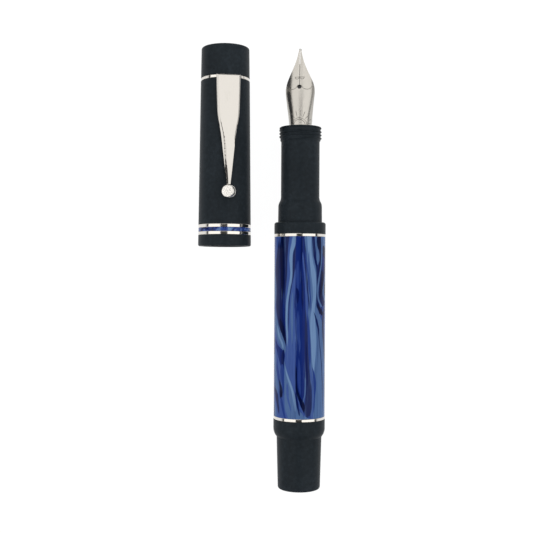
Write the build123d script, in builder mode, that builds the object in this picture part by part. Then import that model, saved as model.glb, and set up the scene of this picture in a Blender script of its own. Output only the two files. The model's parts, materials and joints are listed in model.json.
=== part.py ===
from build123d import *
import os
from math import asin, atan2, cos, radians, sin, sqrt

# Fountain pen lying uncapped, nib forward, with its cap beside it. All sizes in millimetres.
# +Y runs along the pen towards the nib, +X from the cap to the pen and +Z is up.
# The origin is on the table, under the middle of the outline of pen and cap together.
# Pen stations are distances from the tail end, cap stations are distances from the cap's mouth.

os.makedirs("parts", exist_ok=True)

# ---- Driving dimensions: the whole pen
PEN_LENGTH = 130.0
AXIS_GAP = 22.36  # pen axis to cap axis
CAP_MOUTH_STATION = 71.55  # where the cap's mouth lies beside the pen
BAND_RADIUS = 7.62  # widest place of the pen, on which it rests
TRIM_RADIUS = 7.60
BARREL_RADIUS = 7.55
GLUE_GAP = 0.02  # radial room between pieces that are glued or pressed together
RUNNING_GAP = 0.05  # radial room between pieces that slide or turn

# ---- Screw threads: shares of the pitch, and how deep a ridge starts inside its core
RIDGE_FOOT = 0.76
RIDGE_CREST = 0.20
RIDGE_SUNK = 0.10

# ---- Tail
TAIL_END_RADIUS = 6.24
TAIL_TOP_RADIUS = 6.64
TAIL_EDGE = 0.70  # rounding of the tail's end
SHOULDER_START = 15.40
SHOULDER_END = 17.96
TAIL_FRONT = 20.66
TAIL_BORE_RADIUS = 4.60
TAIL_BORE_START = 14.0

# ---- Barrel
REAR_RING_FRONT = 21.55
SLEEVE_FRONT = 74.37
COLLAR_REAR = 75.26
COLLAR_FRONT = 78.68
COLLAR_EDGE = 0.60
TENON_LENGTH = 7.20  # glued tenons of the tail and the collar inside the sleeve
TENON_RADIUS = 6.28
SLEEVE_BORE_RADIUS = 5.00
COLLAR_BORE_RADIUS = 5.45
SEAL_POCKET_RADIUS = 5.95
SEAL_POCKET_DEPTH = 1.38
RING_EDGE = 0.12  # rounding of the metal rings' outer edges

# ---- Grip section
SECTION_REAR_RADIUS = 6.52
SECTION_FLARE_RADIUS = 6.47
NECK_RADIUS = 5.70
FLARE_START = 83.28
FLARE_END = 86.25
NECK_END = 102.55
THREAD_REAR = 102.90
THREAD_START = 103.30
THREAD_END = 106.00
RIM_START = 106.42
SECTION_FRONT = 106.82
RIM_RADIUS = 6.20
RIM_EDGE = 0.25
THREAD_ROOT_RADIUS = 5.95
THREAD_CREST_RADIUS = 6.26
THREAD_PITCH = 0.95
SCREW_TENON_REAR = 69.5
SCREW_ROOT_RADIUS = 5.05
SCREW_CREST_RADIUS = 5.35
SCREW_PITCH = 1.0
SEAL_NECK_RADIUS = 5.00
SECTION_BORE_RADIUS = 3.80
HOUSING_BORE_RADIUS = 4.17

# ---- Nib unit
NIB_ROLL = 9.0  # the nib leans this many degrees towards the cap
NIB_THICKNESS = 0.30
NIB_BASE_RADIUS = 3.34
NIB_REAR = 96.0
BREATHER_DISTANCE = 11.6  # from the nib's tip
BREATHER_RADIUS = 0.62
SLIT_WIDTH = 0.13
TIPPING_RADIUS = 0.42
HOUSING_REAR = 88.0
HOUSING_FLOOR = 90.0
HOUSING_FRONT = 106.60
HOUSING_RADIUS = 4.15
NIPPLE_REAR = 83.0
NIPPLE_RADIUS = 1.35
INK_HOLE_RADIUS = 0.50
FEED_REAR = 90.2
FEED_RADIUS = 2.86
FEED_TIP = 125.4
FEED_TIP_WIDTH = 1.4
FEED_TIP_TOP = 1.5
FEED_TIP_KEEL = 1.0
FEED_TOP_AT_BREATHER = 2.46
FEED_KEEL_BEND = 110.8  # the underside rises from here to the tip
FEED_TAPER_START = 116.0
FIN_START = 108.0
FIN_PITCH = 0.80
FIN_SLOT = 0.40
FIN_COUNT = 13
FIN_CORE_WIDTH = 2.6
FIN_CORE_KEEL = -1.0

# ---- Converter
MOUTH_FRONT = 87.7
TUBE_FRONT = 80.0
MOUTH_SPIGOT_REAR = 76.5
TUBE_REAR = 51.0
TUBE_RADIUS = 3.30
TUBE_BORE_RADIUS = 2.70
BAND_FRONT = 56.0
BAND_REAR = 46.2
BAND_LIP = 1.0
BAND_LIP_RADIUS = 2.65
BAND_OUTER_RADIUS = 3.65
GUIDE_REAR = 49.0
GUIDE_SPIGOT_FRONT = 53.0
NUT_FRONT = 48.9
NUT_FLANGE = 1.5
NUT_REAR = 42.0
NUT_RADIUS = 2.50
NUT_BORE_RADIUS = 1.30
KNOB_FRONT = 46.0
KNOB_REAR = 25.5
KNOB_RADIUS = 3.60
KNOB_BORE_RADIUS = 1.45
KNOB_FLOOR = 26.8
KNOB_EDGE = 0.80
KNURL_COUNT = 24
KNURL_DEPTH = 0.22
KNURL_MARGIN = 2.0  # plain length left at each end of the knob
PISTON_REAR = 71.5
PISTON_FRONT = 76.2
PISTON_RADIUS = 2.45
PISTON_STUB = 2.0
PISTON_NOSE = 1.0
PISTON_NOSE_RADIUS = 1.225
PISTON_GROOVE_RADIUS = 2.0
PISTON_SEAL_REAR = 73.2
PISTON_SEAL_FRONT = 74.5
PISTON_LIP_RADIUS = 2.66
ROD_REAR = 45.3
ROD_ROOT_RADIUS = 0.95
ROD_CREST_RADIUS = 1.20
ROD_FLAT = 1.00  # half the rod's thickness across its flats
ROD_PITCH = 2.5

# ---- Cap
CAP_LENGTH = 58.73
LIP_RADIUS = 7.82
LIP_TOP_RADIUS = 7.79
LIP_EDGE = 0.45
LIP_FRONT = 3.24
LOWER_BAND_FRONT = 4.19
INLAY_FRONT = 5.33
UPPER_BAND_FRONT = 6.31
LIP_TENON_FRONT = 7.40
LIP_TENON_RADIUS = 7.12
CAP_BAND_RADIUS = 7.80
INLAY_RADIUS = 7.76
CAP_TUBE_LOW_RADIUS = 7.75
CAP_TUBE_TOP_RADIUS = 7.26
CAP_TUBE_FRONT = 48.72
CLIP_RING_RADIUS = 7.22
CLIP_RING_FRONT = 49.61
CROWN_LOW_RADIUS = 7.22
CROWN_TOP_RADIUS = 7.09
CROWN_EDGE = 0.55
CAP_BORE_RADIUS = 6.65
CAP_THREAD_DEPTH = 24.3
CAP_THREAD_RADIUS = 6.32
CAP_SEAT_DEPTH = 28.14
INNER_CAP_RADIUS = 5.93
INNER_CAP_WALL = 0.83
INNER_CAP_STEP = 42.5
INNER_CAP_CONE_REAR = 41.3
INNER_CAP_CONE_FRONT = 46.6
INNER_CAP_STEM_RADIUS = 3.75
INNER_CAP_END = 52.6
CROWN_TENON_RADIUS = 5.60
CROWN_TENON_REAR = 44.6
CROWN_BORE_RADIUS = 4.60
CROWN_BORE_END = 53.2

# ---- Clip
CLIP_LEAN = 9.0  # the clip leans this many degrees towards the pen
CLIP_TOP = 49.42
CLIP_STEP = 3.0  # between the stations that the strip is shaped at
CLIP_ROOT_HEIGHT = 8.30  # outer face above the cap's axis
CLIP_RISE = 0.05  # per millimetre towards the ball
CLIP_THICKNESS = 1.0
CLIP_ROLL = 0.60  # rounding of its top end
CLIP_TAB_REAR = 48.85
CLIP_TAB_INNER = 5.95
CLIP_TAB_OUTER = 7.85
CLIP_TAB_WIDTH = 4.8
CLIP_SLOT_ROOM = 0.15
BALL_RADIUS = 2.10
BALL_STATION = 15.4
BALL_HEIGHT = 9.80  # ball centre above the cap's axis
BALL_FACE = 1.28  # flat face of the ball, above its centre
BALL_FACE_LEAN = 8.0  # the flat face looks up and this many degrees away from the pen
BALL_FACE_EDGE = 0.12

# ---- Axes: each part is drawn on a plane with X across its axis and Y along it
CAP_TILT = atan2(LIP_RADIUS - CAP_TUBE_TOP_RADIUS, CAP_TUBE_FRONT - LIP_EDGE)  # lies on its cone's side
PEN_X = (AXIS_GAP + LIP_RADIUS - BAND_RADIUS) / 2
TAIL_Y = -(CAP_MOUTH_STATION + CAP_LENGTH) / 2
CAP_X = PEN_X - AXIS_GAP
CAP_Z = LIP_RADIUS * cos(CAP_TILT) + LIP_EDGE * sin(CAP_TILT)

PEN = Plane(origin=(PEN_X, TAIL_Y, BAND_RADIUS))
PEN_AXIS = Axis(PEN.origin, PEN.y_dir)

roll = radians(NIB_ROLL)
NIB = Plane(origin=PEN.origin, x_dir=(cos(roll), 0, sin(roll)), z_dir=(-sin(roll), 0, cos(roll)))

lean = radians(CLIP_LEAN)
cap_forward = Vector(0, cos(CAP_TILT), -sin(CAP_TILT))
cap_up = Vector(0, sin(CAP_TILT), cos(CAP_TILT))
clip_outward = cap_up * cos(lean) + Vector(1, 0, 0) * sin(lean)
CAP = Plane(
    origin=(CAP_X, TAIL_Y + CAP_MOUTH_STATION, CAP_Z),
    x_dir=clip_outward,
    z_dir=clip_outward.cross(cap_forward),
)
CAP_AXIS = Axis(CAP.origin, CAP.y_dir)


def cross_plane(axis_plane, station, across, up):
    """Plane square to a part's axis at a station, with X and Y along the given directions."""
    origin = axis_plane.origin + axis_plane.y_dir * station
    return Plane(origin=origin, x_dir=across, z_dir=across.cross(up))


def metal_ring(name, axis_plane, bore, radius, rear, front):
    """Plain trim ring with lightly rounded outer edges, written as a piece of its own."""
    with BuildPart() as ring:
        with BuildSketch(axis_plane):
            with BuildLine():
                Polyline((bore, rear), (radius, rear), (radius, front), (bore, front), close=True)
            make_face()
        revolve(axis=Axis(axis_plane.origin, axis_plane.y_dir))
        fillet(ring.edges().filter_by(GeomType.CIRCLE).group_by(SortBy.RADIUS)[-1], RING_EDGE)
    ring.part.label = name
    export_step(ring.part, f"parts/{name}.step")


def thread_ridge(start, end, root, crest, pitch):
    """Right-hand helical ridge about the pen's axis, from one station to the other."""
    foot_half = RIDGE_FOOT * pitch / 2
    crest_half = RIDGE_CREST * pitch / 2
    with BuildPart() as ridge:
        with BuildLine() as path:
            Helix(pitch, end - start, root, center=PEN.origin + PEN.y_dir * start, direction=(0, 1, 0))
        outward = (path.line @ 0 - PEN.origin - PEN.y_dir * start).normalized()
        with BuildSketch(Plane(origin=path.line @ 0, x_dir=outward, z_dir=path.line % 0)):
            with BuildLine():
                Polyline(
                    (-RIDGE_SUNK, -foot_half),
                    (crest - root, -crest_half),
                    (crest - root, crest_half),
                    (-RIDGE_SUNK, foot_half),
                    close=True,
                )
            make_face()
        sweep(path=path.line, is_frenet=True)
    return ridge.part


# ================================ Barrel ================================

with BuildPart() as tail:
    with BuildSketch(PEN):
        with BuildLine():
            Polyline((0, TAIL_BORE_START), (0, 0), (TAIL_END_RADIUS, 0), (TAIL_TOP_RADIUS, SHOULDER_START))
            TangentArc((BAND_RADIUS, SHOULDER_END), (TAIL_TOP_RADIUS, SHOULDER_START), tangent=(0, -1))
            Polyline(
                (BAND_RADIUS, SHOULDER_END),
                (BAND_RADIUS, TAIL_FRONT),
                (TENON_RADIUS, TAIL_FRONT),
                (TENON_RADIUS, REAR_RING_FRONT + TENON_LENGTH),
                (TAIL_BORE_RADIUS, REAR_RING_FRONT + TENON_LENGTH),
                (TAIL_BORE_RADIUS, TAIL_BORE_START),
                (0, TAIL_BORE_START),
            )
        make_face()
    revolve(axis=PEN_AXIS)
    fillet(tail.edges().filter_by(GeomType.CIRCLE).sort_by(Axis.Y)[0], TAIL_EDGE)
tail.part.label = "tail"
export_step(tail.part, "parts/tail.step")

metal_ring("rear_trim_ring", PEN, TENON_RADIUS + GLUE_GAP, TRIM_RADIUS, TAIL_FRONT, REAR_RING_FRONT)
metal_ring("front_trim_ring", PEN, TENON_RADIUS + GLUE_GAP, TRIM_RADIUS, SLEEVE_FRONT, COLLAR_REAR)

with BuildPart() as barrel_sleeve:
    socket = TENON_RADIUS + GLUE_GAP
    with BuildSketch(PEN):
        with BuildLine():
            Polyline(
                (socket, REAR_RING_FRONT),
                (BARREL_RADIUS, REAR_RING_FRONT),
                (BARREL_RADIUS, SLEEVE_FRONT),
                (socket, SLEEVE_FRONT),
                (socket, COLLAR_REAR - TENON_LENGTH),
                (SLEEVE_BORE_RADIUS, COLLAR_REAR - TENON_LENGTH),
                (SLEEVE_BORE_RADIUS, REAR_RING_FRONT + TENON_LENGTH),
                (socket, REAR_RING_FRONT + TENON_LENGTH),
                close=True,
            )
        make_face()
    revolve(axis=PEN_AXIS)
barrel_sleeve.part.label = "barrel_sleeve"
export_step(barrel_sleeve.part, "parts/barrel_sleeve.step")

with BuildPart() as front_collar:
    with BuildSketch(PEN):
        with BuildLine():
            Polyline(
                (COLLAR_BORE_RADIUS, COLLAR_REAR - TENON_LENGTH),
                (TENON_RADIUS, COLLAR_REAR - TENON_LENGTH),
                (TENON_RADIUS, COLLAR_REAR),
                (TRIM_RADIUS, COLLAR_REAR),
                (TRIM_RADIUS, COLLAR_FRONT),
                (SEAL_POCKET_RADIUS, COLLAR_FRONT),
                (SEAL_POCKET_RADIUS, COLLAR_FRONT - SEAL_POCKET_DEPTH),
                (COLLAR_BORE_RADIUS, COLLAR_FRONT - SEAL_POCKET_DEPTH),
                close=True,
            )
        make_face()
    revolve(axis=PEN_AXIS)
    front_edges = front_collar.edges().filter_by(GeomType.CIRCLE).group_by(Axis.Y)[-1]
    fillet(front_edges.sort_by(SortBy.RADIUS)[-1], COLLAR_EDGE)
front_collar.part.label = "front_collar"
export_step(front_collar.part, "parts/front_collar.step")

# ================================ Grip section and nib unit ================================

with BuildPart() as section:
    flare_middle = ((SECTION_FLARE_RADIUS + NECK_RADIUS) / 2, (FLARE_START + FLARE_END) / 2)
    with BuildSketch(PEN):
        with BuildLine():
            Polyline(
                (SECTION_BORE_RADIUS, SCREW_TENON_REAR),
                (SCREW_ROOT_RADIUS, SCREW_TENON_REAR),
                (SCREW_ROOT_RADIUS, COLLAR_FRONT - SEAL_POCKET_DEPTH),
                (SEAL_NECK_RADIUS, COLLAR_FRONT - SEAL_POCKET_DEPTH),
                (SEAL_NECK_RADIUS, COLLAR_FRONT),
                (SECTION_REAR_RADIUS, COLLAR_FRONT),
                (SECTION_FLARE_RADIUS, FLARE_START),
            )
            TangentArc((SECTION_FLARE_RADIUS, FLARE_START), flare_middle, tangent=(0, 1))
            TangentArc((NECK_RADIUS, FLARE_END), flare_middle, tangent=(0, -1))
            Polyline(
                (NECK_RADIUS, FLARE_END),
                (NECK_RADIUS, NECK_END),
                (THREAD_ROOT_RADIUS, THREAD_REAR),
                (THREAD_ROOT_RADIUS, RIM_START),
                (RIM_RADIUS, RIM_START),
                (RIM_RADIUS, SECTION_FRONT),
                (HOUSING_BORE_RADIUS, SECTION_FRONT),
                (HOUSING_BORE_RADIUS, HOUSING_REAR),
                (SECTION_BORE_RADIUS, HOUSING_REAR),
                (SECTION_BORE_RADIUS, SCREW_TENON_REAR),
            )
        make_face()
    revolve(axis=PEN_AXIS)
    rim_edges = section.edges().filter_by(GeomType.CIRCLE).group_by(Axis.Y)[-1]
    fillet(rim_edges.sort_by(SortBy.RADIUS)[-1], RIM_EDGE)
    add(thread_ridge(THREAD_START, THREAD_END, THREAD_ROOT_RADIUS, THREAD_CREST_RADIUS, THREAD_PITCH))
    screw_end = COLLAR_FRONT - SEAL_POCKET_DEPTH - SCREW_PITCH
    add(
        thread_ridge(
            SCREW_TENON_REAR + SCREW_PITCH, screw_end, SCREW_ROOT_RADIUS, SCREW_CREST_RADIUS, SCREW_PITCH
        )
    )
section.part.label = "section"
export_step(section.part, "parts/section.step")

# Rubber ring round the section's seal neck, in the collar's pocket
with BuildPart() as section_seal:
    seal_wire = (SEAL_POCKET_RADIUS - SEAL_NECK_RADIUS) / 2 - RUNNING_GAP
    with BuildSketch(PEN):
        with Locations(((SEAL_POCKET_RADIUS + SEAL_NECK_RADIUS) / 2, COLLAR_FRONT - SEAL_POCKET_DEPTH / 2)):
            Circle(seal_wire)
    revolve(axis=PEN_AXIS)
section_seal.part.label = "section_seal"
export_step(section_seal.part, "parts/section_seal.step")

# Collar that holds nib and feed, with the nipple that the converter pushes onto
with BuildPart() as nib_housing:
    nib_socket = NIB_BASE_RADIUS + RUNNING_GAP
    with BuildSketch(PEN):
        with BuildLine():
            Polyline(
                (INK_HOLE_RADIUS, NIPPLE_REAR),
                (NIPPLE_RADIUS, NIPPLE_REAR),
                (NIPPLE_RADIUS, HOUSING_REAR),
                (HOUSING_RADIUS, HOUSING_REAR),
                (HOUSING_RADIUS, HOUSING_FRONT),
                (nib_socket, HOUSING_FRONT),
                (nib_socket, HOUSING_FLOOR),
                (INK_HOLE_RADIUS, HOUSING_FLOOR),
                close=True,
            )
        make_face()
    revolve(axis=PEN_AXIS)
nib_housing.part.label = "nib_housing"
export_step(nib_housing.part, "parts/nib_housing.step")

# The nib is bent sheet. Each row: distance from the tip, width, radius of the bend and the crown
# line's height above the pen's axis.
NIB_SHAPE = (
    (0.4, 0.52, 5.20, 1.56),
    (2.4, 1.47, 5.20, 1.88),
    (4.4, 2.66, 5.20, 2.18),
    (6.4, 4.28, 5.20, 2.48),
    (8.4, 6.20, 5.20, 2.75),
    (10.4, 7.90, 5.30, 2.99),
    (12.4, 8.62, 5.30, 3.17),
    (14.4, 8.37, 4.95, 3.27),
    (16.4, 7.92, 4.45, 3.31),
    (18.4, 7.50, 3.98, 3.33),
    (20.4, 7.08, 3.58, NIB_BASE_RADIUS),
    (22.4, 6.66, NIB_BASE_RADIUS, NIB_BASE_RADIUS),
)


def bend_points(radius, half_angle, centre):
    """Left edge, crown and right edge of a bend that is centred below the crown line."""
    return [(radius * sin(angle), centre + radius * cos(angle)) for angle in (-half_angle, 0, half_angle)]


with BuildPart() as nib:
    for distance, width, bend_radius, crown_line in NIB_SHAPE:
        half_angle = asin(width / 2 / bend_radius)
        centre = crown_line - bend_radius
        with BuildSketch(cross_plane(NIB, PEN_LENGTH - distance, NIB.x_dir, NIB.z_dir)):
            with BuildLine():
                outer = ThreePointArc(*bend_points(bend_radius, half_angle, centre))
                inner = ThreePointArc(*bend_points(bend_radius - NIB_THICKNESS, half_angle, centre))
                Line(outer @ 0, inner @ 0)
                Line(outer @ 1, inner @ 1)
            make_face()
    loft()
    extrude(nib.faces().sort_by(Axis.Y)[0], amount=PEN_LENGTH - NIB_SHAPE[-1][0] - NIB_REAR)
    with BuildSketch(NIB):
        with Locations((0, PEN_LENGTH - BREATHER_DISTANCE)):
            Circle(BREATHER_RADIUS)
        with Locations((0, PEN_LENGTH - BREATHER_DISTANCE / 2)):
            Rectangle(SLIT_WIDTH, BREATHER_DISTANCE)
    extrude(amount=2 * NIB_BASE_RADIUS, mode=Mode.SUBTRACT)
nib.part.label = "nib"
export_step(nib.part, "parts/nib.step")

# Hard pellet welded to the end of the nib: a ball with a step for the sheet, split by the slit
with BuildPart() as nib_tip:
    seat = NIB_SHAPE[0][3] - NIB_THICKNESS - GLUE_GAP
    with Locations(NIB.location * Location((0, PEN_LENGTH - TIPPING_RADIUS, seat))):
        Sphere(TIPPING_RADIUS)
    with Locations(NIB.location * Location((0, PEN_LENGTH - TIPPING_RADIUS + GLUE_GAP, seat))):
        step = 4 * TIPPING_RADIUS
        Box(step, step, step, align=(Align.CENTER, Align.MAX, Align.MIN), mode=Mode.SUBTRACT)
    with BuildSketch(NIB):
        with Locations((0, PEN_LENGTH - TIPPING_RADIUS)):
            Rectangle(SLIT_WIDTH, step)
    extrude(amount=NIB_BASE_RADIUS, mode=Mode.SUBTRACT)
nib_tip.part.label = "nib_tip"
export_step(nib_tip.part, "parts/nib_tip.step")

# Feed: a finned rod under the nib, tapered to a thin tongue at its front
with BuildPart() as feed:
    with BuildSketch(cross_plane(NIB, FEED_REAR, NIB.x_dir, NIB.z_dir)):
        Circle(FEED_RADIUS)
    extrude(amount=-(FEED_TIP - FEED_REAR))
    with BuildSketch(Plane(origin=NIB.origin, x_dir=NIB.y_dir, z_dir=NIB.x_dir)):
        with BuildLine():
            Polyline(
                (FEED_TIP, FEED_TIP_KEEL),
                (FEED_TIP, FEED_TIP_TOP),
                (PEN_LENGTH - BREATHER_DISTANCE, FEED_TOP_AT_BREATHER),
                (HOUSING_FRONT, FEED_RADIUS),
                (FEED_REAR, FEED_RADIUS),
                (FEED_REAR, -FEED_RADIUS),
                (FEED_KEEL_BEND, -FEED_RADIUS),
            )
            TangentArc((FEED_KEEL_BEND, -FEED_RADIUS), (FEED_TIP, FEED_TIP_KEEL), tangent=(1, 0))
        make_face()
    extrude(amount=FEED_RADIUS, both=True, mode=Mode.INTERSECT)
    with BuildSketch(NIB):
        with BuildLine():
            Polyline(
                (-FEED_RADIUS, FEED_REAR),
                (-FEED_RADIUS, FEED_TAPER_START),
                (-FEED_TIP_WIDTH / 2, FEED_TIP),
                (FEED_TIP_WIDTH / 2, FEED_TIP),
                (FEED_RADIUS, FEED_TAPER_START),
                (FEED_RADIUS, FEED_REAR),
                close=True,
            )
        make_face()
    extrude(amount=FEED_RADIUS, both=True, mode=Mode.INTERSECT)
    for fin in range(FIN_COUNT):
        with BuildSketch(cross_plane(NIB, FIN_START + fin * FIN_PITCH, NIB.x_dir, NIB.z_dir)):
            Circle(FEED_RADIUS)
            with Locations((0, FIN_CORE_KEEL)):
                core_height = FEED_RADIUS - FIN_CORE_KEEL
                Rectangle(
                    FIN_CORE_WIDTH, core_height, align=(Align.CENTER, Align.MIN), mode=Mode.SUBTRACT
                )
        extrude(amount=-FIN_SLOT, mode=Mode.SUBTRACT)
feed.part.label = "feed"
export_step(feed.part, "parts/feed.step")

# ================================ Converter ================================

with BuildPart() as converter_mouth:
    spigot = TUBE_BORE_RADIUS - GLUE_GAP
    with BuildSketch(PEN):
        with BuildLine():
            Polyline(
                (NIPPLE_RADIUS + GLUE_GAP, MOUTH_SPIGOT_REAR),
                (spigot, MOUTH_SPIGOT_REAR),
                (spigot, TUBE_FRONT),
                (TUBE_RADIUS, TUBE_FRONT),
                (TUBE_RADIUS, MOUTH_FRONT),
                (NIPPLE_RADIUS + GLUE_GAP, MOUTH_FRONT),
                close=True,
            )
        make_face()
    revolve(axis=PEN_AXIS)
converter_mouth.part.label = "converter_mouth"
export_step(converter_mouth.part, "parts/converter_mouth.step")

with BuildPart() as converter_tube:
    with BuildSketch(cross_plane(PEN, TUBE_REAR, PEN.x_dir, PEN.z_dir)):
        Circle(TUBE_RADIUS)
        Circle(TUBE_BORE_RADIUS, mode=Mode.SUBTRACT)
    extrude(amount=-(TUBE_FRONT - TUBE_REAR))
converter_tube.part.label = "converter_tube"
export_step(converter_tube.part, "parts/converter_tube.step")

with BuildPart() as converter_band:
    with BuildSketch(PEN):
        with BuildLine():
            Polyline(
                (BAND_LIP_RADIUS, BAND_REAR),
                (BAND_OUTER_RADIUS, BAND_REAR),
                (BAND_OUTER_RADIUS, BAND_FRONT),
                (TUBE_RADIUS + GLUE_GAP, BAND_FRONT),
                (TUBE_RADIUS + GLUE_GAP, BAND_REAR + BAND_LIP),
                (BAND_LIP_RADIUS, BAND_REAR + BAND_LIP),
                close=True,
            )
        make_face()
    revolve(axis=PEN_AXIS)
converter_band.part.label = "converter_band"
export_step(converter_band.part, "parts/converter_band.step")

# Plug in the tube's rear end whose flatted hole keeps the rod from turning
with BuildPart() as rod_guide:
    with BuildSketch(cross_plane(PEN, GUIDE_REAR, PEN.x_dir, PEN.z_dir)):
        Circle(TUBE_RADIUS)
    extrude(amount=-(TUBE_REAR - GUIDE_REAR))
    with BuildSketch(cross_plane(PEN, TUBE_REAR, PEN.x_dir, PEN.z_dir)):
        Circle(TUBE_BORE_RADIUS - GLUE_GAP)
    extrude(amount=-(GUIDE_SPIGOT_FRONT - TUBE_REAR))
    with BuildSketch(cross_plane(PEN, GUIDE_REAR, PEN.x_dir, PEN.z_dir)):
        Circle(ROD_CREST_RADIUS + RUNNING_GAP)
        hole_height = 2 * (ROD_CREST_RADIUS + RUNNING_GAP)
        Rectangle(2 * (ROD_FLAT + RUNNING_GAP), hole_height, mode=Mode.INTERSECT)
    extrude(amount=-(GUIDE_SPIGOT_FRONT - GUIDE_REAR), mode=Mode.SUBTRACT)
rod_guide.part.label = "rod_guide"
export_step(rod_guide.part, "parts/rod_guide.step")

# Flanged nut, pressed into the knob and trapped by the band's lip; its bore clears the rod's crests
with BuildPart() as drive_nut:
    with BuildSketch(PEN):
        with BuildLine():
            Polyline(
                (NUT_BORE_RADIUS, NUT_REAR),
                (NUT_RADIUS, NUT_REAR),
                (NUT_RADIUS, NUT_FRONT - NUT_FLANGE),
                (TUBE_RADIUS - RUNNING_GAP, NUT_FRONT - NUT_FLANGE),
                (TUBE_RADIUS - RUNNING_GAP, NUT_FRONT),
                (NUT_BORE_RADIUS, NUT_FRONT),
                close=True,
            )
        make_face()
    revolve(axis=PEN_AXIS)
drive_nut.part.label = "drive_nut"
export_step(drive_nut.part, "parts/drive_nut.step")

with BuildPart() as converter_knob:
    with BuildSketch(PEN):
        with BuildLine():
            Polyline(
                (0, KNOB_REAR),
                (KNOB_RADIUS, KNOB_REAR),
                (KNOB_RADIUS, KNOB_FRONT),
                (NUT_RADIUS + GLUE_GAP, KNOB_FRONT),
                (NUT_RADIUS + GLUE_GAP, NUT_REAR),
                (KNOB_BORE_RADIUS, NUT_REAR),
                (KNOB_BORE_RADIUS, KNOB_FLOOR),
                (0, KNOB_FLOOR),
                close=True,
            )
        make_face()
    revolve(axis=PEN_AXIS)
    fillet(converter_knob.edges().filter_by(GeomType.CIRCLE).sort_by(Axis.Y)[0], KNOB_EDGE)
    with BuildSketch(cross_plane(PEN, KNOB_REAR + KNURL_MARGIN, PEN.x_dir, PEN.z_dir)):
        with PolarLocations(KNOB_RADIUS, KNURL_COUNT):
            Circle(KNURL_DEPTH)
    extrude(amount=-(KNOB_FRONT - KNOB_REAR - 2 * KNURL_MARGIN), mode=Mode.SUBTRACT)
converter_knob.part.label = "converter_knob"
export_step(converter_knob.part, "parts/converter_knob.step")

with BuildPart() as piston_head:
    with BuildSketch(PEN):
        with BuildLine():
            Polyline(
                (0, PISTON_REAR + PISTON_STUB),
                (ROD_ROOT_RADIUS + GLUE_GAP, PISTON_REAR + PISTON_STUB),
                (ROD_ROOT_RADIUS + GLUE_GAP, PISTON_REAR),
                (PISTON_RADIUS, PISTON_REAR),
                (PISTON_RADIUS, PISTON_SEAL_REAR),
                (PISTON_GROOVE_RADIUS, PISTON_SEAL_REAR),
                (PISTON_GROOVE_RADIUS, PISTON_SEAL_FRONT),
                (PISTON_RADIUS, PISTON_SEAL_FRONT),
                (PISTON_RADIUS, PISTON_FRONT - PISTON_NOSE),
                (PISTON_NOSE_RADIUS, PISTON_FRONT),
                (0, PISTON_FRONT),
                close=True,
            )
        make_face()
    revolve(axis=PEN_AXIS)
piston_head.part.label = "piston_head"
export_step(piston_head.part, "parts/piston_head.step")

# Double-lipped rubber ring in the piston's groove
with BuildPart() as piston_seal:
    seal_bore = PISTON_GROOVE_RADIUS + GLUE_GAP
    seal_rear = PISTON_SEAL_REAR + GLUE_GAP
    seal_front = PISTON_SEAL_FRONT - GLUE_GAP
    with BuildSketch(PEN):
        with BuildLine():
            Polyline(
                (seal_bore, seal_rear),
                (PISTON_LIP_RADIUS, seal_rear),
                (PISTON_RADIUS, (seal_rear + seal_front) / 2),
                (PISTON_LIP_RADIUS, seal_front),
                (seal_bore, seal_front),
                close=True,
            )
        make_face()
    revolve(axis=PEN_AXIS)
piston_seal.part.label = "piston_seal"
export_step(piston_seal.part, "parts/piston_seal.step")

# Screw rod with two flats, which the knob's nut draws back and pushes forward
with BuildPart() as piston_rod:
    with BuildSketch(cross_plane(PEN, ROD_REAR, PEN.x_dir, PEN.z_dir)):
        Circle(ROD_ROOT_RADIUS)
    extrude(amount=-(PISTON_REAR + PISTON_STUB - ROD_REAR))
    add(
        thread_ridge(
            ROD_REAR + ROD_PITCH / 2,
            PISTON_REAR - ROD_PITCH / 2,
            ROD_ROOT_RADIUS,
            ROD_CREST_RADIUS,
            ROD_PITCH,
        )
    )
    with BuildSketch(cross_plane(PEN, ROD_REAR, PEN.x_dir, PEN.z_dir)):
        Rectangle(2 * ROD_FLAT, 2 * ROD_CREST_RADIUS)
    extrude(amount=-(PISTON_REAR + PISTON_STUB - ROD_REAR), mode=Mode.INTERSECT)
piston_rod.part.label = "piston_rod"
export_step(piston_rod.part, "parts/piston_rod.step")

# ================================ Cap ================================

with BuildPart() as cap_lip:
    with BuildSketch(CAP):
        with BuildLine():
            Polyline(
                (CAP_BORE_RADIUS, 0),
                (LIP_RADIUS, 0),
                (LIP_TOP_RADIUS, LIP_FRONT),
                (LIP_TENON_RADIUS, LIP_FRONT),
                (LIP_TENON_RADIUS, LIP_TENON_FRONT),
                (CAP_BORE_RADIUS, LIP_TENON_FRONT),
                close=True,
            )
        make_face()
    revolve(axis=CAP_AXIS)
    mouth_edges = cap_lip.edges().filter_by(GeomType.CIRCLE).group_by(CAP_AXIS)[0]
    fillet(mouth_edges.sort_by(SortBy.RADIUS)[-1], LIP_EDGE)
    chamfer(mouth_edges.sort_by(SortBy.RADIUS)[0], LIP_EDGE / 2)
cap_lip.part.label = "cap_lip"
export_step(cap_lip.part, "parts/cap_lip.step")

band_bore = LIP_TENON_RADIUS + GLUE_GAP
metal_ring("cap_lower_band", CAP, band_bore, CAP_BAND_RADIUS, LIP_FRONT, LOWER_BAND_FRONT)
metal_ring("cap_inlay_band", CAP, band_bore, INLAY_RADIUS, LOWER_BAND_FRONT, INLAY_FRONT)
metal_ring("cap_upper_band", CAP, band_bore, CAP_BAND_RADIUS, INLAY_FRONT, UPPER_BAND_FRONT)

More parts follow.
